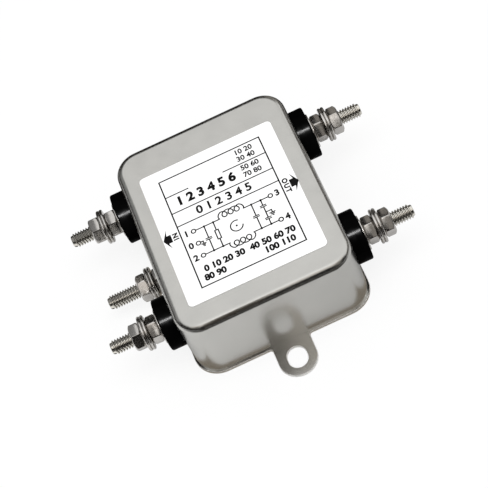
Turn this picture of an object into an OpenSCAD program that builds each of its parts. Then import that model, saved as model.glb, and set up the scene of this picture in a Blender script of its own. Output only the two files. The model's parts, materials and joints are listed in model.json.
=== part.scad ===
// Stud-terminal EMI power line filter in a drawn steel can.
// Origin: centre of the base plate's underside. +Z is up through the label.
// -X is the line side with the earth stud, +X is the load side, and the ears lie along Y.

/* [Case] */
// Width of the can, across the two terminal sides
case_w = 51; // [50:0.5:56]
// Depth of the can, ear to ear
case_d = 64; // [62:0.5:70]
// Height of the filter, base plate and can together
case_h = 24; // [23.5:0.5:30]
// Radius of the can's four upright corners
corner_r = 7; // [5:0.5:9]
// Radius of the can's drawn top edge
edge_r = 2; // [1.5:0.25:3]
// Thickness of the can's sheet
sheet_t = 0.8; // [0.6:0.1:1]
// Thickness of the insulating sheets in the can
liner_t = 0.4; // [0.2:0.1:0.5]

/* [Base plate] */
// Thickness of the base plate
plate_t = 1; // [0.8:0.1:1.5]
// How far the plate stands out past the can all round
plate_rim = 0.5; // [0.3:0.1:1]
// Width of each mounting ear
ear_w = 11; // [10:0.5:14]
// Distance between the centres of the two ear slots
ear_spacing = 76; // [75:0.5:84]
// Width of the slot in each ear
slot_w = 5.6; // [4.5:0.1:6]
// Length of the slot in each ear, along Y
slot_len = 6.7; // [6.2:0.1:8]

/* [Label] */
// Width of the label
label_w = 40; // [34:0.5:42]
// Depth of the label
label_d = 46; // [38:0.5:50]
// Offset of the label towards the rear of the can
label_y = -1.8; // [-2:0.1:1]
// Thickness of the label
label_t = 0.15; // [0.1:0.05:0.3]
// Radius of the label's corners
label_r = 1.3; // [0.5:0.1:3]

/* [Terminals] */
// Distance between the two terminals of one side
terminal_spacing = 38.6; // [38:0.2:42]
// Distance from the can's top down to the terminals' axes
terminal_drop = 10; // [9:0.1:10.5]
// Diameter of the black bushing outside the can
bushing_d = 14.8; // [12:0.2:15]
// Thickness of the bushing outside the can
bushing_t = 4.2; // [3:0.1:5]
// Free thread that stands out past each terminal nut
free_thread = 6.2; // [5:0.1:8]

/* [Earth stud] */
// Height of the earth stud above the base plate's underside
earth_z = 6.2; // [6.2:0.1:6.8]
// Thickness of the thin nut that clamps the earth stud to the wall
thin_nut_t = 2.2; // [1.8:0.1:2.4]
// Free thread that stands out past the earth nut
earth_thread = 9.3; // [6:0.1:12]

/* [Fasteners] */
// Thread diameter of the studs
stud_d = 4.2; // [3.9:0.1:4.2]
// Pitch of the thread
pitch = 0.8; // [0.7:0.05:0.8]
// Width of the nuts and bolt heads across their flats
nut_af = 7; // [6.8:0.1:7.2]
// Thickness of the terminal nuts
nut_t = 3.2; // [2.8:0.1:3.4]
// Outer diameter of the flat washers
washer_d = 10; // [9:0.5:10]
// Thickness of the flat washers
washer_t = 0.9; // [0.7:0.1:1]
// Thickness of the thin washer on each bushing
seat_t = 0.5; // [0.3:0.1:0.8]

/* [Choke] */
// Outer diameter of the ring core
core_od = 25; // [22:0.5:25]
// Bore of the ring core
core_bore_d = 14; // [13.5:0.5:15]
// Height of the ring core
core_h = 8; // [6:0.5:8]
// Diameter of the winding wire
wire_d = 1.3; // [1:0.1:1.3]
// Whole loops in each of the two windings
loops = 7; // [5:1:7]
// Angle of the core that each winding covers
wound_angle = 140; // [138:1:145]

/* [Capacitors and resistor] */
// Length of each X capacitor
xcap_len = 18; // [16:0.5:18]
// Height of each X capacitor
xcap_h = 11; // [9:0.5:11]
// Thickness of each X capacitor
xcap_t = 5; // [4:0.5:5]
// Distance between the two leads of an X capacitor
xcap_pitch = 15; // [13:0.5:15]
// Diameter of each Y capacitor's disc
ycap_d = 7.5; // [6:0.5:8]
// Thickness of each Y capacitor's disc
ycap_t = 3.4; // [3:0.1:4]
// Diameter of the bleed resistor
resistor_d = 2.6; // [2:0.1:3]
// Length of the bleed resistor's body
resistor_len = 8; // [6:0.5:9]
// Diameter of the component leads
lead_d = 0.6; // [0.5:0.05:0.7]

/* [Hidden] */
$fn = 64;
TERMINALS = ["line_live", "line_neutral", "load_live", "load_neutral"];
TERMINAL_PARTS = [
    "bushing", "inner_bushing", "stud", "solder_tag", "seat_washer",
    "clamp_nut", "lower_washer", "upper_washer", "nut"
];

// sides of each terminal: -1 or 1 along X, and -1 or 1 along Y
SIDES = [[-1, 1], [-1, -1], [1, 1], [1, -1]];
function side_x(t) = SIDES[t][0];
function side_y(t) = SIDES[t][1];

// wall and floor faces
wall_x = case_w / 2;
inner_x = wall_x - sheet_t;
inner_y = case_d / 2 - sheet_t;
floor_z = plate_t + liner_t;
roof_z = case_h - sheet_t;
corner_in_r = corner_r - sheet_t;
edge_in_r = edge_r - sheet_t;

// small clearances
hole_gap = 0.1;
stud_gap = 0.04;
washer_gap = 0.15;
liner_gap = 0.3;
part_gap = 0.8;

// base plate
plate_r = corner_r + plate_rim;
ear_r = ear_w / 2;
ear_lip = 0.2;
ear_end_y = ear_spacing / 2 + ear_lip;
ear_root_r = 0.8;

// bushings: a flange and spigot outside, a collar with a recess inside
bushing_edge_r = 0.5;
spigot_d = 7;
spigot_in = 0.6;
collar_d = 12;
collar_t = 1.6;
tag_t = 0.6;
tag_ring_d = 8.4;
tag_tail_w = 4;
tag_tail_len = 9.6;
head_t = 2.8;
stud_r = stud_d / 2;
stud_hole_d = stud_d + 2 * hole_gap;

// distances along a terminal's axis, outwards from the middle of the can
terminal_z = case_h - terminal_drop;
collar_x = inner_x - collar_t;
tag_x = collar_x - tag_t;
bushing_x = wall_x + bushing_t;
clamp_x = bushing_x + seat_t;
lower_x = clamp_x + nut_t;
upper_x = lower_x + washer_t;
nut_x = upper_x + washer_t;
nut_end_x = nut_x + nut_t;
tip_x = nut_end_x + free_thread;

// the same along the earth stud
earth_tag_x = inner_x - tag_t;
earth_lower_x = wall_x + thin_nut_t;
earth_upper_x = earth_lower_x + washer_t;
earth_nut_x = earth_upper_x + washer_t;
earth_end_x = earth_nut_x + nut_t;
earth_tip_x = earth_end_x + earth_thread;

// thread form: rings with flat crests, after a wider relief groove under the nut
thread_depth_share = 0.55;
crest_share = 0.44;
relief_w = 0.8;
tip_chamfer = 0.4;
nut_chamfer_angle = 30;
washer_edge_r = 0.2;
seat_edge_r = 0.12;
nut_corner_share = 1 / cos(30);

// angle of each nut about its stud, in degrees
clamp_nut_turns = [0, 30, 18, 25];
nut_turns = [0, 11, 25, 24];
earth_nut_turn = 31;
earth_clamp_turn = 15;
// direction that those angles are measured from, above -Y
nut_zero_angle = 126;

// choke: the core lies flat with both windings resting on the floor sheet
wire_gap = 0.3;
wire_r = wire_d / 2;
core_r = (core_od + core_bore_d) / 4;
loop_a = (core_od - core_bore_d) / 4 + wire_gap + wire_r;
loop_b = core_h / 2 + wire_gap + wire_r;
core_z = floor_z + loop_b + wire_r;
core_edge_r = 1;
squareness = 0.55;
loop_rings = 24;
wire_sides = 6;
lead_sides = 8;
start_angle = 90 + wound_angle / 2;
first_turn = 90;
last_turn = 360 * (loops + 1);
divider_t = 1;
divider_gap = 0.2;

// component places
earth_head_x = earth_tag_x - head_t;
xcap_x = earth_head_x - part_gap - xcap_t / 2;
xcap_top = floor_z + xcap_h;
xcap_edge_r = 0.6;
xcap_rise = 2;
ycap_x = 10;
ycap_end_gap = 3.55;
ycap_y = inner_y - ycap_end_gap - ycap_d / 2;
ycap_z = floor_z + ycap_d / 2;
ycap_pitch = 5;
ycap_edge_r = 1.2;
ycap_rise = 4;
ycap_foot = 1.3;
resistor_shift_share = 0.28;
resistor_x = xcap_x + xcap_t * resistor_shift_share;
resistor_gap = 0.8;
resistor_z = xcap_top + resistor_gap + resistor_d / 2;
resistor_cap_len = 1.6;
resistor_waist = 0.3;
live_y = terminal_spacing / 2;

// where the wires meet the tail of a solder tag, inwards from the stud and above it
winding_tail = [5.3, 0];
xcap_tail = [7, 1];
spare_tail = [8.5, 0.5];

// A rounded rectangle centred on the origin
module rounded_rect(w, d, r) {
    for (x = [-1, 1], y = [-1, 1]) {
        translate([x * (w / 2 - r), y * (d / 2 - r)]) circle(r);
    }
    square([w - 2 * r, d], center = true);
    square([w, d - 2 * r], center = true);
}

// Half of a box's section, with its upper edge rounded: x from zero to half, z from zero to h
module edge_section(half, h, r) {
    square([half, h - r]);
    square([half - r, h]);
    translate([half - r, h - r]) circle(r);
}

// A box with round upright corners and a round top edge, standing on z = 0
module drawn_box(w, d, h, r, edge) {
    for (x = [-1, 1], y = [-1, 1]) {
        translate([x * (w / 2 - r), y * (d / 2 - r), 0])
            rotate_extrude()
                intersection() {
                    edge_section(r, h, edge);
                    square([r, h]);
                }
    }
    for (m = [0, 1]) {
        mirror([m, 0, 0])
            translate([0, d / 2 - r, 0])
                rotate([90, 0, 0])
                    linear_extrude(d - 2 * r)
                        edge_section(w / 2, h, edge);
        mirror([0, m, 0])
            translate([r - w / 2, 0, 0])
                rotate([90, 0, 90])
                    linear_extrude(w - 2 * r)
                        edge_section(d / 2, h, edge);
    }
}

// Puts a shape that points along +X on a terminal, facing out of the can
module at_terminal(t) {
    translate([0, side_y(t) * live_y, terminal_z])
        mirror([side_x(t) < 0 ? 1 : 0, 0, 0])
            children();
}

// Puts a shape that points along +X on the earth stud's axis, facing out of the can
module at_earth() {
    translate([0, 0, earth_z])
        mirror([1, 0, 0])
            children();
}

// A ring about the X axis, from x along its length
module ring_x(x, length, d, bore) {
    translate([x, 0, 0])
        rotate([0, 90, 0])
            difference() {
                cylinder(h = length, d = d);
                translate([0, 0, -length])
                    cylinder(h = 3 * length, d = bore);
            }
}

// The drawn steel can, open at the bottom, with its terminal holes
module can() {
    color([0.74, 0.73, 0.71])
        difference() {
            translate([0, 0, plate_t])
                drawn_box(case_w, case_d, case_h - plate_t, corner_r, edge_r);
            drawn_box(case_w - 2 * sheet_t, case_d - 2 * sheet_t, roof_z, corner_in_r, edge_in_r);
            for (t = [0 : len(TERMINALS) - 1]) {
                at_terminal(t)
                    translate([inner_x - sheet_t, 0, 0])
                        rotate([0, 90, 0])
                            cylinder(h = 3 * sheet_t, d = spigot_d + 2 * hole_gap);
            }
            at_earth()
                translate([inner_x - sheet_t, 0, 0])
                    rotate([0, 90, 0])
                        cylinder(h = 3 * sheet_t, d = stud_hole_d);
        }
}

// The fillet in the corner where an ear leaves the plate's rim
module ear_root() {
    difference() {
        translate([ear_r - ear_root_r, case_d / 2 + plate_rim - ear_root_r])
            square(2 * ear_root_r);
        translate([ear_r + ear_root_r, case_d / 2 + plate_rim + ear_root_r])
            circle(ear_root_r);
    }
}

// The steel base plate with its two slotted mounting ears
module base_plate() {
    color([0.7, 0.69, 0.66])
        linear_extrude(plate_t)
            difference() {
                union() {
                    rounded_rect(case_w + 2 * plate_rim, case_d + 2 * plate_rim, plate_r);
                    for (x = [0, 1], y = [0, 1]) {
                        mirror([x, 0]) mirror([0, y]) ear_root();
                    }
                    square([ear_w, 2 * ear_end_y], center = true);
                    for (y = [-1, 1]) {
                        translate([0, y * ear_end_y]) circle(ear_r);
                    }
                }
                for (y = [-1, 1]) {
                    translate([0, y * ear_spacing / 2]) ear_slot();
                }
            }
}

// The slot in an ear, long along Y
module ear_slot() {
    reach = (slot_len - slot_w) / 2;
    for (y = [-1, 1]) {
        translate([0, y * reach]) circle(slot_w / 2);
    }
    square([slot_w, 2 * reach], center = true);
}

// The printed label on the can's top
module label() {
    color([0.97, 0.97, 0.97])
        translate([0, label_y, case_h])
            linear_extrude(label_t)
                rounded_rect(label_w, label_d, label_r);
}

// The insulating sheet on the base plate
module base_insulator() {
    color([0.78, 0.68, 0.5])
        translate([0, 0, plate_t])
            linear_extrude(liner_t)
                rounded_rect(2 * (inner_x - liner_gap), 2 * (inner_y - liner_gap), corner_in_r);
}

// The insulating sheet under the can's roof
module top_insulator() {
    inset = edge_in_r + liner_gap;
    color([0.78, 0.68, 0.5])
        translate([0, 0, roof_z - liner_t])
            linear_extrude(liner_t)
                rounded_rect(2 * (inner_x - inset), 2 * (inner_y - inset), corner_in_r);
}

// The outer bushing: a thick disc with a rounded rim, and a spigot through the wall
module bushing() {
    rim_r = bushing_d / 2;
    rim_x = bushing_t - bushing_edge_r;
    color([0.03, 0.03, 0.03])
        translate([wall_x, 0, 0])
            rotate([0, 90, 0])
                difference() {
                    union() {
                        rotate_extrude() {
                            square([rim_r, rim_x]);
                            square([rim_r - bushing_edge_r, bushing_t]);
                            translate([rim_r - bushing_edge_r, rim_x])
                                intersection() {
                                    circle(bushing_edge_r);
                                    square(bushing_edge_r);
                                }
                        }
                        translate([0, 0, -sheet_t - spigot_in])
                            cylinder(h = sheet_t + spigot_in + rim_x, d = spigot_d);
                    }
                    translate([0, 0, -bushing_t])
                        cylinder(h = 3 * bushing_t, d = stud_hole_d);
                }
}

// The inner bushing: a collar against the wall's inside, recessed for the spigot
module inner_bushing() {
    recess_t = spigot_in + hole_gap;
    color([0.05, 0.05, 0.05])
        difference() {
            ring_x(collar_x, collar_t, collar_d, stud_hole_d);
            translate([inner_x - recess_t, 0, 0])
                rotate([0, 90, 0])
                    cylinder(h = 2 * recess_t, d = spigot_d + 2 * hole_gap);
        }
}

// A solder tag with its tail along the given side of Y, lying against x from the inside
module solder_tag(x, tail_side) {
    color([0.8, 0.78, 0.72])
        translate([x, 0, 0])
            rotate([90, 0, 90])
                linear_extrude(tag_t)
                    difference() {
                        union() {
                            circle(d = tag_ring_d);
                            translate([tail_side < 0 ? -tag_tail_len : 0, -tag_tail_w / 2])
                                square([tag_tail_len, tag_tail_w]);
                        }
                        circle(d = stud_hole_d);
                    }
}

// The profile of a stud with its thread, against x: the part that shows past the nut is grooved
module stud_profile(from_x, thread_x, end_x) {
    depth = thread_depth_share * pitch;
    rings = floor((end_x - tip_chamfer - thread_x) / pitch);
    crest = crest_share * pitch;
    slope = (pitch - crest) / 2;
    polygon(concat(
        [[0, from_x], [stud_r, from_x], [stud_r, thread_x - relief_w]],
        [[stud_r - depth, thread_x - relief_w / 2], [stud_r, thread_x]],
        [
            for (k = [0 : rings - 1])
                for (p = [[0, crest], [depth, crest + slope], [0, pitch]])
                    [stud_r - p[0], thread_x + k * pitch + p[1]]
        ],
        [[stud_r, end_x - tip_chamfer], [stud_r - tip_chamfer, end_x], [0, end_x]]
    ));
}

// A stud with a hexagon head inside the can
module stud(head_x, thread_x, end_x, head_turn) {
    color([0.72, 0.7, 0.66]) {
        rotate([0, 90, 0])
            rotate_extrude()
                stud_profile(head_x, thread_x, end_x);
        translate([head_x - head_t, 0, 0])
            rotate([head_turn, 0, 0])
                rotate([0, 90, 0])
                    cylinder(h = head_t, d = nut_af * nut_corner_share, $fn = 6);
    }
}

// A hexagon nut with both faces chamfered at the corners, from x outwards
module hex_nut(x, thickness, turn) {
    corner = nut_af * nut_corner_share / 2;
    face_r = nut_af / 2;
    drop = (corner - face_r) * tan(nut_chamfer_angle);
    color([0.76, 0.74, 0.71])
        translate([x, 0, 0])
            rotate([nut_zero_angle - turn, 0, 0])
                rotate([0, 90, 0])
                    difference() {
                        intersection() {
                            rotate([0, 0, 90])
                                cylinder(h = thickness, r = corner, $fn = 6);
                            rotate_extrude()
                                polygon([
                                    [0, 0],
                                    [face_r, 0],
                                    [corner, drop],
                                    [corner, thickness - drop],
                                    [face_r, thickness],
                                    [0, thickness]
                                ]);
                        }
                        translate([0, 0, -thickness])
                            cylinder(h = 3 * thickness, r = stud_r + stud_gap);
                    }
}

// A flat washer with rounded edges, from x outwards
module flat_washer(x, thickness, edge) {
    bore_r = stud_d / 2 + washer_gap;
    rim_r = washer_d / 2;
    color([0.78, 0.76, 0.73])
        translate([x, 0, 0])
            rotate([0, 90, 0])
                rotate_extrude()
                    translate([(bore_r + rim_r) / 2, thickness / 2])
                        rounded_rect(rim_r - bore_r, thickness, edge);
}

// One piece of a terminal, by name
module terminal_part(p, t) {
    at_terminal(t) {
        if (p == "bushing") bushing();
        if (p == "inner_bushing") inner_bushing();
        if (p == "stud") stud(tag_x, nut_end_x, tip_x, 0);
        if (p == "solder_tag") solder_tag(tag_x, -side_y(t));
        if (p == "seat_washer") flat_washer(bushing_x, seat_t, seat_edge_r);
        if (p == "clamp_nut") hex_nut(clamp_x, nut_t, clamp_nut_turns[t]);
        if (p == "lower_washer") flat_washer(lower_x, washer_t, washer_edge_r);
        if (p == "upper_washer") flat_washer(upper_x, washer_t, washer_edge_r);
        if (p == "nut") hex_nut(nut_x, nut_t, nut_turns[t]);
    }
}

// The choke's ring core, with rounded edges
module choke_core() {
    half_w = (core_od - core_bore_d) / 4;
    color([0.16, 0.3, 0.22])
        translate([0, 0, core_z])
            rotate_extrude()
                translate([core_r, 0])
                    rounded_rect(2 * half_w, core_h, core_edge_r);
}

// The plate in the core's bore that keeps the two windings apart
module choke_divider() {
    color([0.85, 0.83, 0.76])
        translate([0, 0, core_z])
            cube([core_bore_d - 2 * divider_gap, divider_t, core_h], center = true);
}

// A number's power that keeps its sign, which squares the loops off round the core
function squared(v) = sign(v) * pow(abs(v), squareness);

// The wire's centre at a turn of the winding, counted in degrees round the core's section
function loop_point(turn) =
    let (
        along = (turn - first_turn) / (last_turn - first_turn),
        angle = start_angle - along * wound_angle,
        r = core_r + loop_a * squared(cos(turn)),
        z = core_z + loop_b * squared(sin(turn))
    )
    [r * cos(angle), r * sin(angle), z];

// A smooth curve through route points: the piece from p[i] to p[i + 1] in steps
function curve(p, i, steps) =
    let (
        a = p[max(i - 1, 0)],
        b = p[i],
        c = p[i + 1],
        d = p[min(i + 2, len(p) - 1)]
    )
    [
        for (k = [0 : steps - 1])
            let (u = k / steps)
                0.5 * (
                    2 * b + (c - a) * u + (2 * a - 5 * b + 4 * c - d) * u * u
                    + (3 * b - a - 3 * c + d) * u * u * u
                )
    ];

function route(p, steps) = concat(
    [for (i = [0 : len(p) - 2]) each curve(p, i, steps)],
    [p[len(p) - 1]]
);

// the winding's two ends: from a tag, over the X capacitor's end, onto the core and off it
lead_steps = 5;
tag_wire_y = live_y - winding_tail[0];
tag_wire_z = terminal_z + winding_tail[1];
wire_start = loop_point(first_turn);
wire_end = loop_point(last_turn);
out_r = core_r + loop_a;
lead_turn_x = xcap_x - xcap_t / 2;
lead_in = [
    [-tag_x, tag_wire_y, tag_wire_z],
    [-tag_x + 2 * wire_d, tag_wire_y, tag_wire_z],
    [-lead_turn_x, tag_wire_y - wire_r, tag_wire_z],
    [-lead_turn_x + 2 * wire_d, live_y / 2, wire_start[2] + wire_d],
    [out_r * cos(start_angle), out_r * sin(start_angle), wire_start[2] + wire_gap]
];
lead_out = [
    [wire_end[0], wire_end[1], core_z + loop_b / 2],
    [wire_end[0], wire_end[1] + wire_r, core_z + loop_b],
    [lead_turn_x - wire_d, live_y / 2 + wire_d, tag_wire_z],
    [lead_turn_x + wire_d, tag_wire_y - wire_r, tag_wire_z],
    [tag_x - 2 * wire_d, tag_wire_y, tag_wire_z],
    [tag_x, tag_wire_y, tag_wire_z]
];
turn_step = 360 / loop_rings;
coil_points = [for (a = [first_turn : turn_step : last_turn]) loop_point(a)];
wire_points = concat(
    route(concat(lead_in, [wire_start]), lead_steps),
    [for (k = [1 : len(coil_points) - 2]) coil_points[k]],
    route(concat([wire_end], lead_out), lead_steps)
);

// Unit directions along a path, and cross-section directions carried along it without twist
function unit(v) = v / norm(v);
function heading(p, i) = unit(p[i + 1] - p[i]);
function tangents(p) = [
    for (i = [0 : len(p) - 1])
        unit(heading(p, max(i - 1, 0)) + heading(p, min(i, len(p) - 2)))
];
function carried(n, t) = unit(n - (n * t) * t);
// a direction that no wire starts along
first_normal = [1, 2, 3];
function normals(t) = [
    for (
        i = 0, n = carried(first_normal, t[0]);
        i < len(t);
        i = i + 1, n = carried(n, t[min(i, len(t) - 1)])
    ) n
];

// An unbroken tube along a path
module tube(p, r, sides) {
    t = tangents(p);
    n = normals(t);
    rings = len(p);
    points = [
        for (i = [0 : rings - 1]) for (s = [0 : sides - 1])
            p[i] + r * (cos(360 * s / sides) * n[i] + sin(360 * s / sides) * cross(t[i], n[i]))
    ];
    skin = [
        for (i = [0 : rings - 2]) for (s = [0 : sides - 1])
            let (a = i * sides + s, b = i * sides + (s + 1) % sides)
                each [[a, a + sides, b], [b, a + sides, b + sides]]
    ];
    first_cap = [for (s = [1 : sides - 2]) [0, s, s + 1]];
    last = (rings - 1) * sides;
    last_cap = [for (s = [1 : sides - 2]) [last, last + s + 1, last + s]];
    polyhedron(points = points, faces = concat(skin, first_cap, last_cap));
}

// The least distance between pieces of the wire that lie at least half a loop apart, less its thickness
function self_gap(p, apart, thickness) =
    min([
        for (i = [0 : len(p) - 1 - apart]) for (j = [i + apart : len(p) - 1]) norm(p[i] - p[j])
    ]) - thickness;
winding_self_gap = self_gap(wire_points, loop_rings / 2, wire_d);
echo(winding_self_gap = winding_self_gap);

// One winding: from the line tag, round half of the core, to the load tag
module winding(turned) {
    color([0.72, 0.38, 0.16])
        rotate([0, 0, turned])
            tube(wire_points, wire_r, wire_sides);
}

// Straight runs with each corner between them cut short
bend = lead_d / 2;
function bent(p) = concat(
    [p[0]],
    [
        for (i = [1 : len(p) - 2])
            each [p[i] - bend * heading(p, i - 1), p[i] + bend * heading(p, i)]
    ],
    [p[len(p) - 1]]
);

// A bare round wire along straight runs
module lead(points) {
    color([0.75, 0.75, 0.75]) tube(bent(points), lead_d / 2, lead_sides);
}

// An X capacitor: a box standing upside down beside the choke, its leads rising to the two tags
module x_capacitor(side) {
    rise_z = terminal_z + xcap_rise;
    tag_y = live_y - xcap_tail[0];
    tag_z = terminal_z + xcap_tail[1];
    mirror([side < 0 ? 1 : 0, 0, 0]) {
        color([0.9, 0.78, 0.2])
            translate([xcap_x, 0, floor_z])
                linear_extrude(xcap_h)
                    rounded_rect(xcap_t, xcap_len, xcap_edge_r);
        for (m = [0, 1]) {
            mirror([0, m, 0])
                lead([
                    [xcap_x, xcap_pitch / 2, xcap_top - lead_d],
                    [xcap_x, xcap_pitch / 2, rise_z],
                    [xcap_x + xcap_t / 2, tag_y, rise_z],
                    [tag_x - lead_d, tag_y, tag_z],
                    [tag_x, tag_y, tag_z]
                ]);
        }
    }
}

// A Y capacitor: a disc on edge, one lead to the load tag and one to the can's end wall
module y_capacitor(side) {
    wall_z = floor_z + ycap_d + 2 * lead_d;
    over_z = terminal_z + ycap_rise;
    tag_y = live_y - spare_tail[0];
    tag_z = terminal_z + spare_tail[1];
    half_t = ycap_t / 2;
    foot_z = ycap_z + ycap_foot;
    mirror([0, side < 0 ? 1 : 0, 0]) {
        color([0.2, 0.45, 0.75])
            translate([ycap_x, ycap_y, ycap_z])
                rotate([90, 0, 0])
                    rotate_extrude()
                        intersection() {
                            rounded_rect(ycap_d, ycap_t, ycap_edge_r);
                            translate([0, -half_t]) square([ycap_d / 2, ycap_t]);
                        }
        lead([
            [ycap_x + ycap_pitch / 2, ycap_y, foot_z],
            [ycap_x + ycap_pitch / 2, ycap_y, over_z],
            [xcap_x - xcap_t / 2, live_y - tag_tail_len / 2, over_z],
            [tag_x - 2 * lead_d, tag_y, over_z],
            [tag_x - 2 * lead_d, tag_y, tag_z],
            [tag_x, tag_y, tag_z]
        ]);
        lead([
            [ycap_x - ycap_pitch / 2, ycap_y, foot_z],
            [ycap_x - ycap_pitch / 2, ycap_y, wall_z],
            [ycap_x - ycap_pitch / 2, inner_y, wall_z]
        ]);
    }
}

// The bleed resistor between the two line tags, above the line side's X capacitor
module bleed_resistor() {
    tag_y = live_y - spare_tail[0];
    body_r = resistor_d / 2;
    mirror([1, 0, 0]) {
        color([0.45, 0.62, 0.75])
            translate([resistor_x, resistor_len / 2, resistor_z])
                rotate([90, 0, 0])
                    rotate_extrude() {
                        square([body_r - resistor_waist, resistor_len]);
                        for (y = [0, resistor_len - resistor_cap_len]) {
                            translate([0, y]) square([body_r, resistor_cap_len]);
                        }
                    }
        for (m = [0, 1]) {
            mirror([0, m, 0])
                lead([
                    [resistor_x, resistor_len / 2 - lead_d, resistor_z],
                    [resistor_x, tag_y, resistor_z],
                    [tag_x, tag_y, terminal_z + spare_tail[1]]
                ]);
        }
    }
}

can();
base_plate();
label();
base_insulator();
top_insulator();
for (t = [0 : len(TERMINALS) - 1]) {
    for (p = TERMINAL_PARTS) {
        terminal_part(p, t);
    }
}
at_earth() stud(earth_tag_x, earth_end_x, earth_tip_x, 0);  // earth_stud
at_earth() solder_tag(earth_tag_x, 1);  // earth_solder_tag
at_earth() hex_nut(wall_x, thin_nut_t, earth_clamp_turn);  // earth_clamp_nut
union() {  // earth_lower_washer
    at_earth() flat_washer(earth_lower_x, washer_t, washer_edge_r);
}
union() {  // earth_upper_washer
    at_earth() flat_washer(earth_upper_x, washer_t, washer_edge_r);
}
at_earth() hex_nut(earth_nut_x, nut_t, earth_nut_turn);  // earth_nut
choke_core();
choke_divider();
winding(0);  // live_winding
winding(180);  // neutral_winding
x_capacitor(-1);  // line_x_capacitor
x_capacitor(1);  // load_x_capacitor
y_capacitor(1);  // live_y_capacitor
y_capacitor(-1);  // neutral_y_capacitor
bleed_resistor();
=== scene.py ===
# %% [markdown]
# # A mains filter with stud terminals
# The real filter is a drawn steel can on a flat base plate. Four bolts stand out of its
# sides through black bushings, and a fifth one is the earth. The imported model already
# holds every solid piece in its place, so this lesson starts from it, gives each piece
# its finish, and makes again only what needs a fuller shape: the threads, the nuts, the
# plate's edges, the windings and the print on the label.

import json
import math

import bmesh
import bpy
from mathutils import Matrix, Vector


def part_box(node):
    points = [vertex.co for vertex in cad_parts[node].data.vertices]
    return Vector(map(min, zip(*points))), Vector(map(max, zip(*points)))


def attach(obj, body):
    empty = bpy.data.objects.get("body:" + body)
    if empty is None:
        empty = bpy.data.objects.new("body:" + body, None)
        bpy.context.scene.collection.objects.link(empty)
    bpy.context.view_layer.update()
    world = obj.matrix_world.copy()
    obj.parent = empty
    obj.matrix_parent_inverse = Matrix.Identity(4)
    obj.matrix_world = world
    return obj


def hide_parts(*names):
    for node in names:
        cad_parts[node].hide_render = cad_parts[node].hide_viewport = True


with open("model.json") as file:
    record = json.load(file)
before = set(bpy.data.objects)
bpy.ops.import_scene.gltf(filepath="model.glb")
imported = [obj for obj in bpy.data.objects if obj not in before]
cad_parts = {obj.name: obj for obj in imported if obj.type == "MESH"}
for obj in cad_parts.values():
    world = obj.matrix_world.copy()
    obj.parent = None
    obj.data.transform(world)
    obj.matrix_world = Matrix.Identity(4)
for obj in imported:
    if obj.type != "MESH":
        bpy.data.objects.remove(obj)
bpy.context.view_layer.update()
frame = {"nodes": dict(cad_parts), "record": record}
nodes = frame["nodes"]
MM = 0.001
TERMINALS = ["line_live", "line_neutral", "load_live", "load_neutral"]

# %% [markdown]
# ## The camera
# The camera stands where the photographer stood: above the front of the filter, nearly
# half a metre away, and rolled, so that the filter lies askew in the picture. Three unit
# vectors turn it. One points from the filter to the camera, and the other two are the
# picture's right and up, turned by the roll.

# %% Stand the camera in its place
CAMERA_HEIGHT_ANGLE = math.radians(54.12)
CAMERA_SIDE_ANGLE = math.radians(2.36)
CAMERA_ROLL = math.radians(-26.76)
CAMERA_DISTANCE = 473.88 * MM
FOCAL_PIXELS = 1717.38
PICTURE_PIXELS = 488
PICTURE_OFFSET = (-3.71, -13.91)
SENSOR_WIDTH = 36
AIM_HEIGHT = 12 * MM

towards = Vector((
    math.sin(CAMERA_SIDE_ANGLE) * math.cos(CAMERA_HEIGHT_ANGLE),
    -math.cos(CAMERA_SIDE_ANGLE) * math.cos(CAMERA_HEIGHT_ANGLE),
    math.sin(CAMERA_HEIGHT_ANGLE),
))
level_right = Vector((math.cos(CAMERA_SIDE_ANGLE), math.sin(CAMERA_SIDE_ANGLE), 0))
level_up = towards.cross(level_right)
right = math.cos(CAMERA_ROLL) * level_right + math.sin(CAMERA_ROLL) * level_up
up = math.cos(CAMERA_ROLL) * level_up - math.sin(CAMERA_ROLL) * level_right

lens = bpy.data.cameras.new("camera")
lens.sensor_width = SENSOR_WIDTH
lens.lens = FOCAL_PIXELS / PICTURE_PIXELS * SENSOR_WIDTH
lens.shift_x = -PICTURE_OFFSET[0] / PICTURE_PIXELS
lens.shift_y = PICTURE_OFFSET[1] / PICTURE_PIXELS
lens.clip_start = 10 * MM
camera = bpy.data.objects.new("camera", lens)
bpy.context.scene.collection.objects.link(camera)
turned = Matrix((right, up, towards)).transposed().to_4x4()
camera.matrix_world = Matrix.Translation(Vector((0, 0, AIM_HEIGHT)) + towards * CAMERA_DISTANCE) @ turned
bpy.context.scene.camera = camera
print("camera with a", round(lens.lens, 1), "mm lens")

# %% [markdown]
# ## A helper for node trees
# Finishes and Geometry Nodes are both trees of nodes. One small helper adds a node, sets
# its properties, and fills its inputs: a socket is linked, and anything else is a value.

# %% Add a node to a tree
def add_node(tree, kind, inputs=None, **settings):
    made = tree.nodes.new(kind)
    for name, value in settings.items():
        setattr(made, name, value)
    for name, value in (inputs or {}).items():
        if isinstance(value, bpy.types.NodeSocket):
            tree.links.new(value, made.inputs[name])
        else:
            made.inputs[name].default_value = value
    return made


def calculate(tree, operation, first, second=0.0, third=0.0):
    made = add_node(tree, "ShaderNodeMath", {0: first, 1: second, 2: third}, operation=operation)
    return made.outputs[0]


print("node helpers ready")

# %% [markdown]
# ## Finishes
# Each finish is a Principled shader whose colour, roughness and height come from noise
# on Object coordinates, in metres. Object coordinates stay with the piece when it moves,
# and need no unwrapping. What is the same all over a piece is set on the shader itself.
# Painted shade in a thread's grooves and a painted highlight on the plate's rim come from an
# attribute on the mesh, a number at each point, and the shader mixes in the other look.

# %% A finish with a mottled colour, roughness and grain
NOISE_DETAIL = 3.0
NOISE_LOW, NOISE_HIGH = 0.3, 0.7


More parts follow.
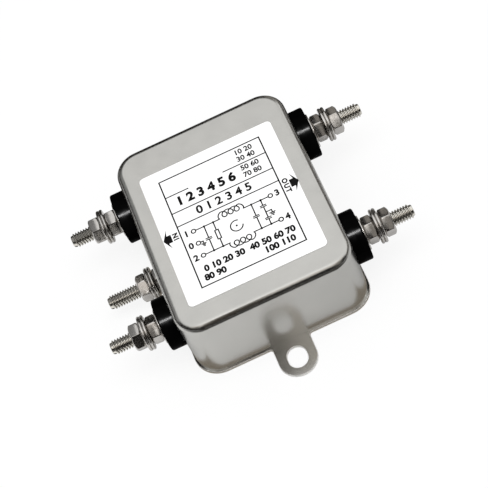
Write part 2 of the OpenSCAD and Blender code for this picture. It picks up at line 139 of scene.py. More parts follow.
def mottled(tree, scale, low, high):
    """A value from low to high that wanders over the piece, scale times a metre."""
    place = add_node(tree, "ShaderNodeTexCoord").outputs["Object"]
    noise = add_node(tree, "ShaderNodeTexNoise", {
        "Vector": place, "Scale": scale, "Detail": NOISE_DETAIL,
    })
    spread = add_node(tree, "ShaderNodeMapRange", {
        "Value": noise.outputs["Fac"],
        "From Min": NOISE_LOW, "From Max": NOISE_HIGH, "To Min": low, "To Max": high,
    })
    return spread.outputs["Result"]


def finish(name, dark, light, rough, grain, blotch=90, **sockets):
    """dark and light end the colour, rough the roughness, and grain is (scale, height)."""
    made = bpy.data.materials.new(name)
    made.use_nodes = True
    tree = made.node_tree
    tree.nodes.clear()
    colour = add_node(tree, "ShaderNodeMix", {
        "Factor": mottled(tree, blotch, 0.0, 1.0), "A": (*dark, 1), "B": (*light, 1),
    }, data_type="RGBA")
    bump = add_node(tree, "ShaderNodeBump", {
        "Strength": 1.0, "Distance": grain[1] * MM, "Height": mottled(tree, grain[0], 0.0, 1.0),
    })
    shader = add_node(tree, "ShaderNodeBsdfPrincipled", {
        "Base Color": colour.outputs["Result"],
        "Roughness": mottled(tree, 3 * blotch, *rough),
        "Normal": bump.outputs["Normal"],
    })
    for socket, value in sockets.items():
        shader.inputs[socket.replace("_", " ")].default_value = value
    add_node(tree, "ShaderNodeOutputMaterial", {"Surface": shader.outputs[0]})
    return made


def turned_to(made, attribute, tone, rough):
    """The finish goes over to another tone and roughness where an attribute is 1."""
    tree = made.node_tree
    shader = next(node for node in tree.nodes if node.type == "BSDF_PRINCIPLED")
    share = add_node(tree, "ShaderNodeAttribute", attribute_name=attribute).outputs["Fac"]
    for socket, other, kind in (("Base Color", (*tone, 1), "RGBA"), ("Roughness", rough, "FLOAT")):
        usual = shader.inputs[socket].links[0].from_socket
        mixed = add_node(tree, "ShaderNodeMix", {"Factor": share, "A": usual, "B": other}, data_type=kind)
        tree.links.new(mixed.outputs["Result"], shader.inputs[socket])


print("finish helpers ready")

# %% [markdown]
# ## The filter's own finishes
# The can and plate are tinned or nickel-plated sheet: metal with a satin roughness that
# mirrors its surroundings softly. The nuts and washers are brighter and a little warm.
# The bushings are glossy black moulded plastic, and the label is a white film. Painted shade
# darkens a thread's grooves, and a painted highlight makes the plate's rim pale and dull.

# %% Make every finish
FINISHES = {
    "tinned_steel": finish("satin plated sheet", (0.565, 0.56, 0.535), (0.6, 0.592, 0.565), (0.22, 0.27),
                           (1500, 0.0012), Metallic=1.0),
    "plated_steel": finish("bright nickel", (0.56, 0.54, 0.515), (0.66, 0.64, 0.615), (0.14, 0.25),
                           (1800, 0.003), blotch=350, Metallic=1.0),
    "black_plastic": finish("glossy black moulding", (0.00002, 0.00002, 0.00002), (0.00005, 0.00005, 0.00005),
                            (0.13, 0.2), (900, 0.004), blotch=200, Specular_IOR_Level=0.005),
    "label_film": finish("white label film", (0.92, 0.92, 0.92), (0.95, 0.95, 0.95), (0.38, 0.45),
                         (2500, 0.001), blotch=120),
    "fibre_sheet": finish("insulating fibre", (0.62, 0.5, 0.32), (0.78, 0.66, 0.46), (0.7, 0.85),
                          (1600, 0.02), blotch=400),
    "tinned_brass": finish("tinned tag", (0.68, 0.64, 0.54), (0.78, 0.75, 0.68), (0.25, 0.4),
                           (1500, 0.004), blotch=300, Metallic=1.0),
    "ferrite": finish("coated ferrite", (0.05, 0.16, 0.1), (0.08, 0.24, 0.15), (0.35, 0.5),
                      (1300, 0.02), blotch=500),
    "copper_wire": finish("enamelled copper", (0.42, 0.13, 0.035), (0.6, 0.2, 0.06), (0.2, 0.3),
                          (1200, 0.004), blotch=300, Metallic=0.6, Coat_Weight=0.8),
    "film_box": finish("moulded capacitor box", (0.72, 0.5, 0.06), (0.8, 0.58, 0.09), (0.3, 0.42),
                       (1400, 0.008), blotch=250),
    "ceramic_disc": finish("dipped blue lacquer", (0.03, 0.12, 0.4), (0.05, 0.18, 0.5), (0.2, 0.35),
                           (700, 0.03), blotch=250),
    "resistor_body": finish("dipped resistor lacquer", (0.2, 0.36, 0.5), (0.3, 0.46, 0.6), (0.25, 0.4),
                            (900, 0.02), blotch=400),
}
THREAD_FINISH = finish("rolled thread", (0.74, 0.71, 0.64), (0.86, 0.83, 0.76), (0.12, 0.2),
                       (1800, 0.003), blotch=350, Metallic=1.0)
# Painted highlight: the plate's rim goes pale and dull, to read as a bright edge line.
turned_to(FINISHES["tinned_steel"], "sheared", (0.97, 0.96, 0.94), 0.7)
# Painted shade: a thread's grooves go nearly black and dull.
turned_to(THREAD_FINISH, "groove", (0.006, 0.005, 0.004), 0.9)
INK = finish("printed black ink", (0.002, 0.002, 0.002), (0.006, 0.006, 0.006), (0.45, 0.6),
             (2500, 0.001), blotch=600, Specular_IOR_Level=0.1)
print(len(FINISHES) + 2, "finishes")

# %% [markdown]
# Every solid piece says in the record which finish it has, so one loop dresses them all.

# %% Dress the solid pieces
body_of_node = {}
for body, members in frame["record"]["behaviour"]["bodies"].items():
    for member in members:
        body_of_node[member] = body
slot_of_node = {part["node"]: part["material_slot"] for part in frame["record"]["subparts"]}
for name, solid in nodes.items():
    solid.data.materials.clear()
    solid.data.materials.append(FINISHES[slot_of_node[name]])
print("dressed", len(nodes), "pieces")

# %% [markdown]
# ## Finishing a new piece
# A new piece is smooth where its faces nearly line up and keeps a crease elsewhere. It
# then takes the body, finish and place of the solid that it stands for.

# %% Smooth a piece and hand it to its body
CREASE = math.radians(32)


def settle(piece, replaced, crease=CREASE, finish_used=None):
    """The piece takes over from the replaced solids, which all lie on one body."""
    slot = slot_of_node[replaced[0]]
    if crease:
        piece.data.shade_smooth()
        piece.data.set_sharp_from_angle(angle=crease)
    piece.data.materials.clear()
    piece.data.materials.append(finish_used or FINISHES[slot])
    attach(piece, body_of_node[replaced[0]])
    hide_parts(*replaced)
    return piece


def plain(piece):
    """The piece with its modifiers worked into its mesh."""
    graph = bpy.context.evaluated_depsgraph_get()
    mesh = bpy.data.meshes.new_from_object(piece.evaluated_get(graph))
    piece.modifiers.clear()
    piece.data = mesh
    return piece


def new_piece(name, mesh):
    piece = bpy.data.objects.new(name, mesh)
    bpy.context.scene.collection.objects.link(piece)
    return piece


def outward(node):
    """A matrix that takes +X out of the can along a stud, from the node's face nearest to the can."""
    low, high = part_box(node)
    middle = (low + high) / 2
    side = 1 if middle.x > 0 else -1
    start = low.x if side > 0 else high.x
    turn = Matrix.Rotation(0 if side > 0 else math.pi, 4, "Z")
    return Matrix.Translation((start, middle.y, middle.z)) @ turn, side


print("helpers for new pieces ready")

# %% [markdown]
# ## Geometry Nodes
# What repeats or follows a path is grown by a node tree, whose inputs are its sizes. The
# tree is run once on a small starting mesh and the result is kept as a plain mesh.

# %% Start and end a geometry tree, and grow a piece with it
def geometry_tree(name, sizes):
    tree = bpy.data.node_groups.new(name, "GeometryNodeTree")
    tree.interface.new_socket("Geometry", in_out="INPUT", socket_type="NodeSocketGeometry")
    tree.interface.new_socket("Geometry", in_out="OUTPUT", socket_type="NodeSocketGeometry")
    for label, kind in sizes.items():
        tree.interface.new_socket(label, in_out="INPUT", socket_type="NodeSocket" + kind)
    return tree, add_node(tree, "NodeGroupInput").outputs


def end_tree(tree, geometry, material):
    """Copies become real and take the finish, because an export drops copies."""
    real = add_node(tree, "GeometryNodeRealizeInstances", {"Geometry": geometry})
    dressed = add_node(tree, "GeometryNodeSetMaterial", {"Geometry": real.outputs[0], "Material": material})
    add_node(tree, "NodeGroupOutput", {0: dressed.outputs[0]})


def grow(name, start, tree, **sizes):
    piece = new_piece(name, start)
    grower = piece.modifiers.new("grown", "NODES")
    grower.node_group = tree
    for item in tree.interface.items_tree:
        if item.in_out == "INPUT" and item.name in sizes:
            grower[item.identifier] = sizes[item.name]
    return plain(piece)


print("geometry tree helpers ready")

# %% [markdown]
# ## The studs
# Each terminal is a bolt with its head inside the can. A thread is one ridge wound round
# and round. Here a flat grid is rolled up: its length becomes the angle, its width one
# pitch of the profile, and each turn moves it one pitch along. Neighbouring turns then
# share an edge and are merged, so that the ridge is one skin. A right-hand thread goes
# forward as it turns from Y towards Z, seen along X. The ends fade into the bolt's core.
# How deep each point lies is kept as the attribute "groove", from which the finish paints shade into the
# grooves.

# %% The tree that rolls a thread
TURN_FACES = 24
PROFILE_POINTS = 9
THREAD_PITCH = 0.8 * MM
THREAD_CREST = 2.1 * MM
THREAD_DEPTH = 0.46 * MM
ROOT_SHARE = 0.28
FLANK_SHARE = 0.24
RISES_IN_A_TURN = 3.0
A_MICRON = 0.001 * MM

thread_tree, sizes = geometry_tree("rolled thread", {
    "Turns": "Int", "Pitch": "Float", "Start": "Float", "Crest": "Float", "Depth": "Float",
    "Finish": "Material",
})


def thread_sum(operation, *values):
    return calculate(thread_tree, operation, *values)


grid = add_node(thread_tree, "GeometryNodeMeshGrid", {
    "Size X": 1, "Size Y": 1, "Vertices Y": PROFILE_POINTS,
    "Vertices X": thread_sum("MULTIPLY_ADD", sizes["Turns"], TURN_FACES, 1),
})
flat = add_node(thread_tree, "GeometryNodeInputPosition").outputs[0]
flat = add_node(thread_tree, "ShaderNodeSeparateXYZ", {0: flat}).outputs
turns_done = thread_sum("MULTIPLY", thread_sum("ADD", flat["X"], 0.5), sizes["Turns"])
turns_left = thread_sum("SUBTRACT", sizes["Turns"], turns_done)
across = thread_sum("ADD", flat["Y"], 0.5)
up_flank = thread_sum("SUBTRACT", thread_sum("PINGPONG", across, 0.5), ROOT_SHARE / 2)
ridge = thread_sum("DIVIDE", up_flank, FLANK_SHARE)
ridge.node.use_clamp = True
to_end = thread_sum("MINIMUM", turns_done, turns_left)
fade = thread_sum("MINIMUM", thread_sum("MULTIPLY", to_end, RISES_IN_A_TURN), 1.0)
sunk = thread_sum("SUBTRACT", 1.0, thread_sum("MULTIPLY", ridge, fade))
radius = thread_sum("SUBTRACT", sizes["Crest"], thread_sum("MULTIPLY", sunk, sizes["Depth"]))
angle = thread_sum("MULTIPLY", turns_done, 2 * math.pi)
along = thread_sum("MULTIPLY", thread_sum("ADD", turns_done, across), sizes["Pitch"])
rolled = add_node(thread_tree, "ShaderNodeCombineXYZ", {
    "X": thread_sum("ADD", along, sizes["Start"]),
    "Y": thread_sum("MULTIPLY", radius, thread_sum("COSINE", angle)),
    "Z": thread_sum("MULTIPLY", radius, thread_sum("SINE", angle)),
})
marked = add_node(thread_tree, "GeometryNodeStoreNamedAttribute", {
    "Geometry": grid.outputs["Mesh"], "Name": "groove", "Value": sunk,
}, data_type="FLOAT", domain="POINT")
placed = add_node(thread_tree, "GeometryNodeSetPosition", {
    "Geometry": marked.outputs[0], "Position": rolled.outputs[0],
})
merged = add_node(thread_tree, "GeometryNodeMergeByDistance", {
    "Geometry": placed.outputs[0], "Distance": A_MICRON,
})
both = add_node(thread_tree, "GeometryNodeJoinGeometry")
thread_tree.links.new(sizes["Geometry"], both.inputs[0])
thread_tree.links.new(merged.outputs[0], both.inputs[0])
end_tree(thread_tree, both.outputs[0], sizes["Finish"])
print("thread tree with", len(thread_tree.nodes), "nodes")

# %% [markdown]
# The core under the thread is turned on a lathe: a list of radii along the axis, swept
# round it. The hexagon head inside the can is added at its inner end.

# %% Turn a solid on a lathe
ROUND_FACES = 48


def spun(x, radius, around):
    """The point at a distance along X and a radius from it, at an angle from Y to Z."""
    return x, radius * math.cos(around), radius * math.sin(around)


def finished_mesh(name, shape):
    """The shape as a mesh, with its faces turned outwards."""
    bmesh.ops.recalc_face_normals(shape, faces=shape.faces)
    mesh = bpy.data.meshes.new(name)
    shape.to_mesh(mesh)
    shape.free()
    return mesh


def turned_mesh(name, profile, faces=ROUND_FACES):
    """A solid of revolution. profile lists (distance along X, radius) from end to end."""
    shape = bmesh.new()
    step = 2 * math.pi / faces
    rings = [[shape.verts.new(spun(x, r, k * step)) for k in range(faces)] for x, r in profile]
    for lower, upper in zip(rings, rings[1:]):
        for k in range(faces):
            after = (k + 1) % faces
            shape.faces.new((lower[k], lower[after], upper[after], upper[k]))
    shape.faces.new(rings[0])
    shape.faces.new(rings[-1])
    return finished_mesh(name, shape)


print("lathe ready")

# %% Turn the five studs and thread them
SIXTH = math.radians(60)
HEAD_THICKNESS = 2.8 * MM
HEAD_FLATS = 7 * MM
HEAD_TRIM = 0.05 * MM
SHANK_INSET = 0.04 * MM
CORE_OVERLAP = 0.01 * MM
THREAD_STOP = 0.15 * MM
# The stud's rounded end, as millimetres back from the end and down from the core
TIP = ((0.35, 0), (0.12, 0.1), (0, 0.32))


def cut_head(mesh):
    """Cuts the round head to a hexagon."""
    for vert in mesh.vertices:
        from_axis = math.hypot(vert.co.y, vert.co.z)
        if vert.co.x < HEAD_THICKNESS + A_MICRON and from_axis > HEAD_FLATS / 2:
            around = math.atan2(vert.co.z, vert.co.y)
            off_flat = (around + SIXTH / 2) % SIXTH - SIXTH / 2
            shrink = min(HEAD_FLATS / 2 / math.cos(off_flat) / from_axis, 1)
            vert.co.y *= shrink
            vert.co.z *= shrink


def threaded_stud(node, thread_from):
    """A bolt in place of a stud. Its thread comes out of the wall or bushing at thread_from."""
    low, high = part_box(node)
    length = high.x - low.x
    bare = abs(thread_from) - min(abs(low.x), abs(high.x))
    head = HEAD_FLATS / math.sqrt(3) - HEAD_TRIM
    shank = THREAD_CREST - SHANK_INSET
    core = THREAD_CREST - THREAD_DEPTH + CORE_OVERLAP
    mesh = turned_mesh(node, [
        (0, head), (HEAD_THICKNESS, head), (HEAD_THICKNESS, shank),
        (bare - THREAD_PITCH, shank), (bare - THREAD_PITCH / 2, core),
    ] + [(length - back * MM, core - down * MM) for back, down in TIP])
    cut_head(mesh)
    thread_end = length - THREAD_STOP
    turns = int((thread_end - bare) / THREAD_PITCH)
    stud = grow(node + "_threaded", mesh, thread_tree, Turns=turns, Pitch=THREAD_PITCH,
                Start=thread_end - (turns + 1) * THREAD_PITCH,
                Crest=THREAD_CREST, Depth=THREAD_DEPTH, Finish=THREAD_FINISH)
    stud.data.transform(outward(node)[0])
    settle(stud, [node], finish_used=THREAD_FINISH)
    return turns


for terminal in TERMINALS:
    bushing_low, bushing_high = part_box(terminal + "_bushing")
    face = max(abs(bushing_low.x), abs(bushing_high.x))
    print(terminal, "stud with", threaded_stud(terminal + "_stud", face), "turns of thread")
can_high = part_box("can")[1]
print("earth stud with", threaded_stud("earth_stud", can_high.x), "turns of thread")

# %% [markdown]
# ## The nuts and washers
# Nuts and washers are rings: an outline swept once round the stud's axis. A washer has the
# same outline all round, with the rounded edges that a punched washer gets in a tumbler.

# %% Sweep an outline into a ring
RING_COLUMNS = 60


def ring_mesh(name, outline_at):
    """A ring about X. outline_at gives the section's (distance along X, radius) at an angle."""
    shape = bmesh.new()
    angles = [2 * math.pi * k / RING_COLUMNS for k in range(RING_COLUMNS)]
    rings = [[shape.verts.new(spun(x, r, around)) for x, r in outline_at(around)] for around in angles]
    for here, after in zip(rings, rings[1:] + rings[:1]):
        for m in range(len(here)):
            n = (m + 1) % len(here)
            shape.faces.new((here[m], here[n], after[n], after[m]))
    return finished_mesh(name, shape)


def washer_mesh(name, thickness, hole_radius, rim_radius, rounding, steps=5):
    hole_rounding = rounding / 3
    outline = []
    for x, r, bend, start in (
        (thickness - rounding, rim_radius - rounding, rounding, 0),
        (rounding, rim_radius - rounding, rounding, 90),
        (hole_rounding, hole_radius + hole_rounding, hole_rounding, 180),
        (thickness - hole_rounding, hole_radius + hole_rounding, hole_rounding, 270),
    ):
        for k in range(steps + 1):
            turn = math.radians(start + 90 * k / steps)
            outline.append((x + bend * math.cos(turn), r + bend * math.sin(turn)))
    return ring_mesh(name, lambda around: outline)


print("ring maker ready")

# %% [markdown]
# A nut's outline changes round the axis, because its rim is a hexagon. Both faces are
# chamfered at the corners, which leaves the curved shoulders that catch the light, and a
# small bevel softens each edge.

# %% Make a nut
FLATS = 7 * MM
BORE = 2.14 * MM
BORE_CHAMFER = 0.22 * MM
FACE_RADIUS = 3.2 * MM
CHAMFER_SLOPE = math.tan(math.radians(34))
NUT_BEVEL = 0.11 * MM
NUT_BEVEL_STEPS = 2
NUT_EDGE = math.radians(20)


def nut_mesh(name, thickness):
    def outline_at(around):
        off_flat = around % SIXTH - SIXTH / 2
        edge = FLATS / 2 / math.cos(off_flat)
        drop = (edge - FACE_RADIUS) * CHAMFER_SLOPE
        return [
            (BORE_CHAMFER, BORE), (0, BORE + BORE_CHAMFER), (0, FACE_RADIUS), (drop, edge),
            (thickness - drop, edge), (thickness, FACE_RADIUS), (thickness, BORE + BORE_CHAMFER),
            (thickness - BORE_CHAMFER, BORE),
        ]

    piece = new_piece(name, ring_mesh(name, outline_at))
    bevel = piece.modifiers.new("soft edges", "BEVEL")
    bevel.width = NUT_BEVEL
    bevel.segments = NUT_BEVEL_STEPS
    bevel.limit_method = "ANGLE"
    bevel.angle_limit = NUT_EDGE
    mesh = plain(piece).data
    bpy.data.objects.remove(piece)
    return mesh


print("nut maker ready")

# %% [markdown]
# The tree takes points that carry a turn each, and puts a copy of the nut on every one.
# A nut stops wherever it is tight, so each one shows its flats at an angle of its own.

# %% The tree that sets nuts on studs
set_tree, sizes = geometry_tree("pieces on studs", {"Piece": "Object", "Finish": "Material"})
copied = add_node(set_tree, "GeometryNodeObjectInfo", {"Object": sizes["Piece"]})
facing = add_node(set_tree, "GeometryNodeInputNamedAttribute", {"Name": "facing"}, data_type="FLOAT_VECTOR")
facing = add_node(set_tree, "FunctionNodeEulerToRotation", {0: facing.outputs["Attribute"]})
points = add_node(set_tree, "GeometryNodeMeshToPoints", {"Mesh": sizes["Geometry"]})
copies = add_node(set_tree, "GeometryNodeInstanceOnPoints", {
    "Points": points.outputs[0], "Instance": copied.outputs["Geometry"], "Rotation": facing.outputs[0],
})
end_tree(set_tree, copies.outputs[0], sizes["Finish"])


def set_on_studs(name, mesh, replaced, turns):
    """Copies of the mesh in place of the nodes, each turned in degrees from Y towards Z."""
    pattern = new_piece("pattern", mesh)
    places, facings = [], []
    for node, turn in zip(replaced, turns):
        place, side = outward(node)
        places.append(place.to_translation())
        local = Matrix.Rotation(math.radians(turn * side), 4, "X")
        facings.extend((place.to_3x3().to_4x4() @ local).to_euler())
    spots = bpy.data.meshes.new(name)
    spots.from_pydata(places, [], [])
    spots.attributes.new("facing", "FLOAT_VECTOR", "POINT").data.foreach_set("vector", facings)
    piece = grow(name, spots, set_tree, Piece=pattern, Finish=FINISHES["plated_steel"])
    bpy.data.objects.remove(pattern)
    return settle(piece, replaced)


NUT_ZERO = 126
CLAMP_TURNS = [0, 30, 18, 25]
NUT_TURNS = [0, 11, 25, 24]
EARTH_CLAMP_TURN = 15
EARTH_NUT_TURN = 31
THICK_NUT = 3.2 * MM
THIN_NUT = 2.2 * MM
thick_nut = nut_mesh("nut", THICK_NUT)
thin_nut = nut_mesh("thin nut", THIN_NUT)
set_on_studs("clamp_nuts", thick_nut, [terminal + "_clamp_nut" for terminal in TERMINALS],
             [NUT_ZERO - turn for turn in CLAMP_TURNS])
set_on_studs("earth_thin_nut", thin_nut, ["earth_clamp_nut"], [NUT_ZERO - EARTH_CLAMP_TURN])
for terminal, turn in zip(TERMINALS, NUT_TURNS):
    set_on_studs(terminal + "_hexagon_nut", thick_nut, [terminal + "_nut"], [NUT_ZERO - turn])
set_on_studs("earth_hexagon_nut", thick_nut, ["earth_nut"], [NUT_ZERO - EARTH_NUT_TURN])
print("ten nuts of", len(thick_nut.polygons), "faces")

# %% [markdown]
# Under each nut lie two wide washers, and the cable goes between them. A thin one seats the
# terminal on its bushing. All are sized from the live line terminal's solids: the wide ones
# from its lower washer, the thin ones from its seat washer.

# %% Put the washers on their studs
WASHER_HOLE = 2.25 * MM


def washer_for(node, name, rounding):
    """A washer as thick and as wide as the node."""
    low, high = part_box(node)
    return washer_mesh(name, high.x - low.x, WASHER_HOLE, (high.y - low.y) / 2, rounding)


washer = washer_for("line_live_lower_washer", "washer", 0.4 * MM)
seat_washer = washer_for("line_live_seat_washer", "seat washer", 0.18 * MM)
studs = TERMINALS + ["earth"]
set_on_studs("lower_washers", washer, [stud + "_lower_washer" for stud in studs], [0] * len(studs))
set_on_studs("seat_washers", seat_washer, [stud + "_seat_washer" for stud in TERMINALS],
             [0] * len(TERMINALS))
for stud in studs:
    set_on_studs(stud + "_flat_washer", washer, [stud + "_upper_washer"], [0])
print("fourteen washers of", len(washer.polygons), "faces")

# %% [markdown]
# ## The base plate
# The plate is stamped from sheet. Its outline is right in the solid, so a copy of it is
# merged into one skin, and its sharp edges get the small rounding that a press leaves.
# The points on the rim carry an attribute, from which the finish paints the rim pale and dull as a painted
# highlight.

# %% Soften the plate's edges
PRESSED_ROUNDING = 0.3 * MM
ROUNDING_STEPS = 3
SHARP_EDGE = math.radians(40)
FLAT_WITHIN = math.radians(0.5)
FACE_MARGIN = 0.01 * MM
FLAT_WEIGHT = 100


def softened(node, name):
    """A copy of the node with rounded edges, in its place."""
    piece = new_piece(name, nodes[node].data.copy())
    shape = bmesh.new()
    shape.from_mesh(piece.data)
    bmesh.ops.remove_doubles(shape, verts=shape.verts, dist=A_MICRON)
    bmesh.ops.dissolve_limit(shape, angle_limit=FLAT_WITHIN, verts=shape.verts, edges=shape.edges)
    shape.to_mesh(piece.data)
    shape.free()
    bevel = piece.modifiers.new("pressed edges", "BEVEL")
    bevel.width = PRESSED_ROUNDING
    bevel.segments = ROUNDING_STEPS
    bevel.limit_method = "ANGLE"
    bevel.angle_limit = SHARP_EDGE
    piece.data.shade_smooth()
    even = piece.modifiers.new("flat faces stay flat", "WEIGHTED_NORMAL")
    even.weight = FLAT_WEIGHT
    piece = plain(piece)
    low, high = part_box(node)
    # The points on the rim, between the two faces, get the painted highlight.
    on_rim = [float(low.z + FACE_MARGIN < vert.co.z < high.z - FACE_MARGIN) for vert in piece.data.vertices]
    piece.data.attributes.new("sheared", "FLOAT", "POINT").data.foreach_set("value", on_rim)
    return settle(piece, [node], crease=None)


plate = softened("base_plate", "pressed_plate")
print("plate with", len(plate.data.polygons), "faces")

# %% [markdown]
# ## The choke's windings
# Each winding is one stiff enamelled wire. It runs from a solder tag over the end of a
# capacitor, goes round half of the core and back to the other side's tag. The route is
# the same one that the solid follows, and a tree sweeps a round section along it.

# %% The wire's loops
# These distances are in millimetres and the angles in degrees
WIRE = 1.3
CORE_MIDDLE = 9.75
CORE_HEIGHT = 7.0
LOOP_ACROSS = 3.7
LOOP_UP = 4.95
SQUARENESS = 0.55
LOOPS = 7
WOUND_ANGLE = 140
FIRST_TURN = 90
LAST_TURN = 360 * (LOOPS + 1)
POINT_EVERY = 15


def squared(value):
    return math.copysign(abs(value) ** SQUARENESS, value)


def loop_point(turn):
    """The wire's middle at a turn, in degrees round the core's section, in millimetres."""
    done = (turn - FIRST_TURN) / (LAST_TURN - FIRST_TURN)
    around = math.radians(90 + WOUND_ANGLE / 2 - done * WOUND_ANGLE)
    reach = CORE_MIDDLE + LOOP_ACROSS * squared(math.cos(math.radians(turn)))
    height = CORE_HEIGHT + LOOP_UP * squared(math.sin(math.radians(turn)))
    return Vector((reach * math.cos(around), reach * math.sin(around), height))


coil = [loop_point(turn) for turn in range(FIRST_TURN, LAST_TURN + 1, POINT_EVERY)]
print("loops of wire:", LOOPS, "points:", len(coil))

# %% [markdown]
# The two ends are drawn through a few set points with a smooth curve between them.

# %% The ends of the wire
WALL_TAG = 22.5
TAG_Y = 14.0
TAG_Z = 14.0
TURN_X = 15.5
TERMINAL_Y = 19.3
LIFT = 0.3


def smooth_route(points, steps=5):
    route = []
    for k in range(len(points) - 1):
        a, b, c = points[max(k - 1, 0)], points[k], points[k + 1]
        d = points[min(k + 2, len(points) - 1)]
        for step in range(steps):
            u = step / steps
            route.append(0.5 * (2 * b + (c - a) * u + (2 * a - 5 * b + 4 * c - d) * u ** 2
                                + (3 * b - a - 3 * c + d) * u ** 3))
    return route + [points[-1]]


start_angle = math.radians(90 + WOUND_ANGLE / 2)
outer = CORE_MIDDLE + LOOP_ACROSS
first, last = coil[0], coil[-1]
lead_in = [Vector(p) for p in (
    (-WALL_TAG, TAG_Y, TAG_Z),
    (-WALL_TAG + 2 * WIRE, TAG_Y, TAG_Z),
    (-TURN_X, TAG_Y - WIRE / 2, TAG_Z),
    (-TURN_X + 2 * WIRE, TERMINAL_Y / 2, first.z + WIRE),
    (outer * math.cos(start_angle), outer * math.sin(start_angle), first.z + LIFT),
    first,
)]
lead_out = [Vector(p) for p in (
    last,
    (last.x, last.y, CORE_HEIGHT + LOOP_UP / 2),
    (last.x, last.y + WIRE / 2, CORE_HEIGHT + LOOP_UP),
    (TURN_X - WIRE, TERMINAL_Y / 2 + WIRE, TAG_Z),
    (TURN_X + WIRE, TAG_Y - WIRE / 2, TAG_Z),
    (WALL_TAG - 2 * WIRE, TAG_Y, TAG_Z),
    (WALL_TAG, TAG_Y, TAG_Z),
)]
wire_route = smooth_route(lead_in) + coil[1:-1] + smooth_route(lead_out)
print("the wire's route has", len(wire_route), "points")

# %% Sweep the wire's section along its route
WIRE_FACES = 12
wire_tree, sizes = geometry_tree("swept wire", {"Radius": "Float", "Faces": "Int", "Finish": "Material"})
line = add_node(wire_tree, "GeometryNodeMeshToCurve", {"Mesh": sizes["Geometry"]})
section = add_node(wire_tree, "GeometryNodeCurvePrimitiveCircle", {
    "Resolution": sizes["Faces"], "Radius": sizes["Radius"],
}, mode="RADIUS")
swept = add_node(wire_tree, "GeometryNodeCurveToMesh", {
    "Curve": line.outputs[0], "Profile Curve": section.outputs[0], "Fill Caps": True,
})
end_tree(wire_tree, swept.outputs[0], sizes["Finish"])


def wound(name, node, turned_by):
    path = bpy.data.meshes.new(name)
    steps = [(k, k + 1) for k in range(len(wire_route) - 1)]
    path.from_pydata([point * MM for point in wire_route], steps, [])
    path.transform(Matrix.Rotation(math.radians(turned_by), 4, "Z"))
    piece = grow(name, path, wire_tree, Radius=WIRE / 2 * MM, Faces=WIRE_FACES,
                 Finish=FINISHES["copper_wire"])
    return settle(piece, [node])


for name, node, turned_by in (("live_coil", "live_winding", 0), ("neutral_coil", "neutral_winding", 180)):
    print(name, "with", len(wound(name, node, turned_by).data.polygons), "faces")

# %% [markdown]
# ## The print on the label
# The film is printed in black. The print is flat ink, a hundredth of a millimetre thick,
# so each line is a thin strip with a mitre at its corners. Distances are in millimetres
# on the label, from the middle of the can.

# %% Draw strokes, arcs, discs and rings in ink
LABEL_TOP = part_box("label")[1].z
INK_BOTTOM = LABEL_TOP - 0.004 * MM
INK_TOP = LABEL_TOP + 0.008 * MM
FINE = 0.36
SHARPEST_MITRE = 0.35
print_shape = bmesh.new()


def ink_face(outline):
    """Gives a flat outline, listed anticlockwise in millimetres, the ink's thickness."""
    lower = [print_shape.verts.new((x * MM, y * MM, INK_BOTTOM)) for x, y in outline]
    upper = [print_shape.verts.new((x * MM, y * MM, INK_TOP)) for x, y in outline]
    count = len(outline)
    print_shape.faces.new(upper)
    print_shape.faces.new(lower[::-1])
    for k in range(count):
        n = (k + 1) % count
        print_shape.faces.new((lower[k], lower[n], upper[n], upper[k]))


def stroke(points, width=FINE, closed=False):
    """A line of the given width through the points, as one strip of mitred pieces."""
    points = [Vector(p) for p in points]
    count = len(points)
    left, rightward = [], []
    for k, point in enumerate(points):
        before = points[k - 1] if k or closed else None
        after = points[(k + 1) % count] if k < count - 1 or closed else None
        into = (point - before).normalized() if before is not None else (after - point).normalized()
        out = (after - point).normalized() if after is not None else into
        along = (into + out).normalized()
        across = Vector((-along.y, along.x)) * (width / 2 / max(along.dot(into), SHARPEST_MITRE))
        left.append(point + across)
        rightward.append(point - across)
    for k in range(count if closed else count - 1):
        n = (k + 1) % count
        ink_face([rightward[k], rightward[n], left[n], left[k]])


def arc(x, y, r, start, end, steps=12):
    turns = [math.radians(start + (end - start) * k / steps) for k in range(steps + 1)]
    return [(x + r * math.cos(turn), y + r * math.sin(turn)) for turn in turns]


def disc(x, y, r, steps=14):
    ink_face(arc(x, y, r, 0, 360, steps)[:-1])


def ring(x, y, r, steps=18):
    stroke(arc(x, y, r, 0, 360, steps)[:-1], closed=True)


print("ink helpers ready")

# %% [markdown]
# A frame with a few rows takes up the label, and the circuit fills its lower half. The
# circuit is the usual one: a capacitor across each side, a resistor that bleeds them, a
# choke with a coil in each line, and two capacitors to earth. Its symbols are the
# standard ones, and the terminals are marked with plain numbers.

# %% Draw the frame and its rows
FRAME_LEFT, FRAME_RIGHT = -15, 15.3
FRAME_LOW, FRAME_TOP = -20.6, 17.4
FRAME_WIDTH = 0.4
TITLE_TOP, TITLE_LOW, ROW_LOW = 11.5, 5.6, 0.9
TITLE_TOP_BREAK = (-8, 2.3)


def box(left, low, right_side, top, width=FINE):
    stroke([(left, low), (right_side, low), (right_side, top), (left, top)], width, closed=True)


def level(y, *stops):
    """Level lines at a height, from the first stop to the second, the third to the fourth and so on."""
    for start, end in zip(stops[::2], stops[1::2]):
        stroke([(start, y), (end, y)])


def upright(x, *stops):
    for start, end in zip(stops[::2], stops[1::2]):
        stroke([(x, start), (x, end)])


box(FRAME_LEFT, FRAME_LOW, FRAME_RIGHT, FRAME_TOP, FRAME_WIDTH)
level(TITLE_TOP, FRAME_LEFT, *TITLE_TOP_BREAK, FRAME_RIGHT)
for rule_y in (TITLE_LOW, ROW_LOW):
    level(rule_y, FRAME_LEFT, FRAME_RIGHT)
print("frame drawn:", len(print_shape.faces), "faces so far")

# %% Symbols of the circuit
PLATE_GAP = 0.5
PLATE_HALF = 0.95
PLATE_LINE = 0.34
HUMPS = 4
HUMP_PITCH = 1.8
HUMP_SWING = 1.125
HUMP_RISE = 1.0125
HUMP_POINTS = 16
EASE_POINTS = 8


